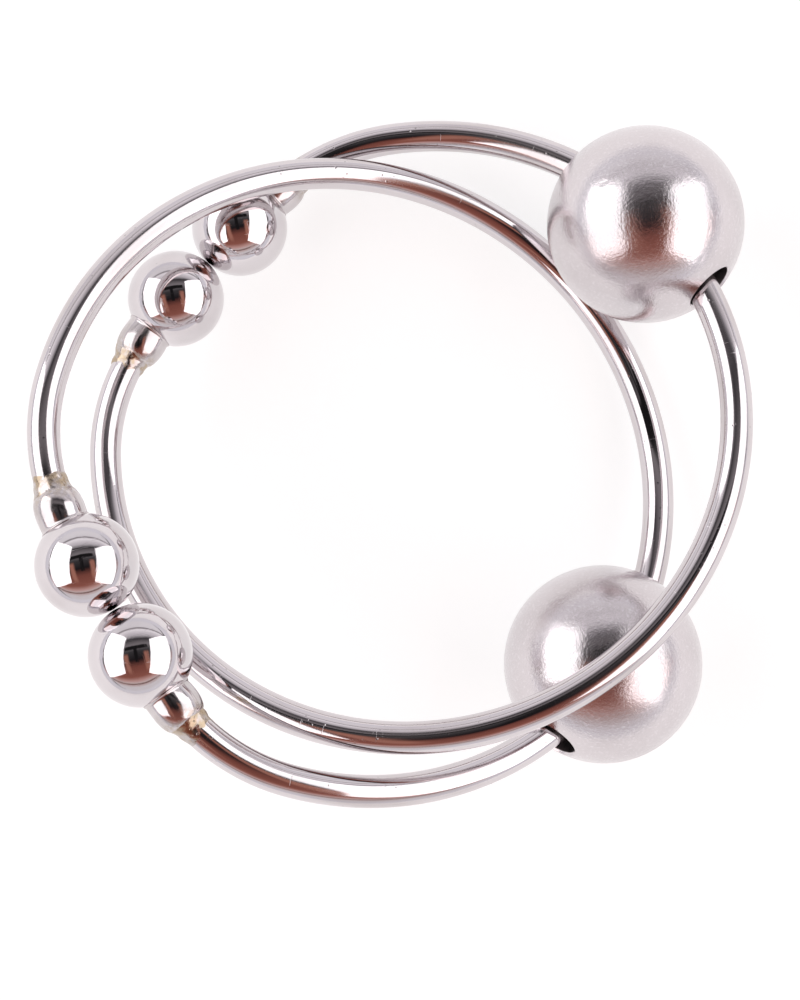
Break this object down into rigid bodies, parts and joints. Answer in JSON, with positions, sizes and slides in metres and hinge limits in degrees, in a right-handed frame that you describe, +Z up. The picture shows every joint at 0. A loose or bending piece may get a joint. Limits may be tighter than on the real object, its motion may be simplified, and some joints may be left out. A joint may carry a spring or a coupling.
{
  "type": "linked ring disentanglement puzzle",
  "caption": "Linked C-shaped spring wire rings, each closed by touching polished end balls with domed collars and carrying a large drilled ball that slides round the wire.",
  "frame": {"origin": "on the table under the middle of the puzzle's bounding box, with the puzzle lying at rest on its balls", "axes": "+Z is up; the drilled ball of ring 1 lies towards +X +Y and that of ring 2 towards +X -Y, so the rings' gaps face -X"},
  "size_m": [0.0754, 0.0698, 0.0298],
  "materials": {
    "wire": "bright nickel-plated spring wire",
    "end_ball": "mirror-polished plate",
    "collar": "polished plate, a little worn",
    "braze": "dull, slightly pitted braze under thin plate",
    "slide_ball": "satin tumbled steel"
  },
  "bodies": {
    "ring_1": {"ring_1_fixed_arc": "wire", "ring_1_fixed_end_ball": "end_ball", "ring_1_fixed_collar": "collar", "ring_1_fixed_braze": "braze"},
    "ring_1_spring_side": {"ring_1_sprung_arc": "wire", "ring_1_sprung_end_ball": "end_ball", "ring_1_sprung_collar": "collar", "ring_1_sprung_braze": "braze"},
    "ring_1_ball": {"ring_1_slide_ball": "slide_ball"},
    "ring_2": {"ring_2_fixed_arc": "wire", "ring_2_fixed_end_ball": "end_ball", "ring_2_fixed_collar": "collar", "ring_2_fixed_braze": "braze"},
    "ring_2_spring_side": {"ring_2_sprung_arc": "wire", "ring_2_sprung_end_ball": "end_ball", "ring_2_sprung_collar": "collar", "ring_2_sprung_braze": "braze"},
    "ring_2_ball": {"ring_2_slide_ball": "slide_ball"}
  },
  "joints": [
    {"name": "ring_2_swing", "type": "hinge", "parent": "ring_1", "child": "ring_2", "pos_m": [0.01404, -0.02489, 0.01], "axis": [0.25, 0.933, 0.2588], "range_deg": [0, 120]},
    {"name": "ring_1_gap", "type": "hinge", "parent": "ring_1", "child": "ring_1_spring_side", "pos_m": [0.0212, -0.02244, 0.02158], "axis": [-0.0515, 0.2836, 0.9576], "range_deg": [0, 3], "stiffness_Nm_per_rad": 13.8, "springref_deg": -0.57},
    {"name": "ring_2_gap", "type": "hinge", "parent": "ring_2", "child": "ring_2_spring_side", "pos_m": [0.02373, 0.00909, 0.00101], "axis": [0.3508, 0.1446, 0.9252], "range_deg": [0, 3], "stiffness_Nm_per_rad": 13.8, "springref_deg": -0.57},
    {"name": "ball_1_slide", "type": "hinge", "parent": "ring_1", "child": "ring_1_ball", "pos_m": [0.00055, 0.00265, 0.01304], "axis": [-0.0515, 0.2836, 0.9576], "range_deg": [-38, 0]},
    {"name": "ball_2_slide", "type": "hinge", "parent": "ring_2_spring_side", "child": "ring_2_ball", "pos_m": [-0.0057, -0.00095, 0.01374], "axis": [0.3508, 0.1446, 0.9252], "range_deg": [0, 22]}
  ]
}
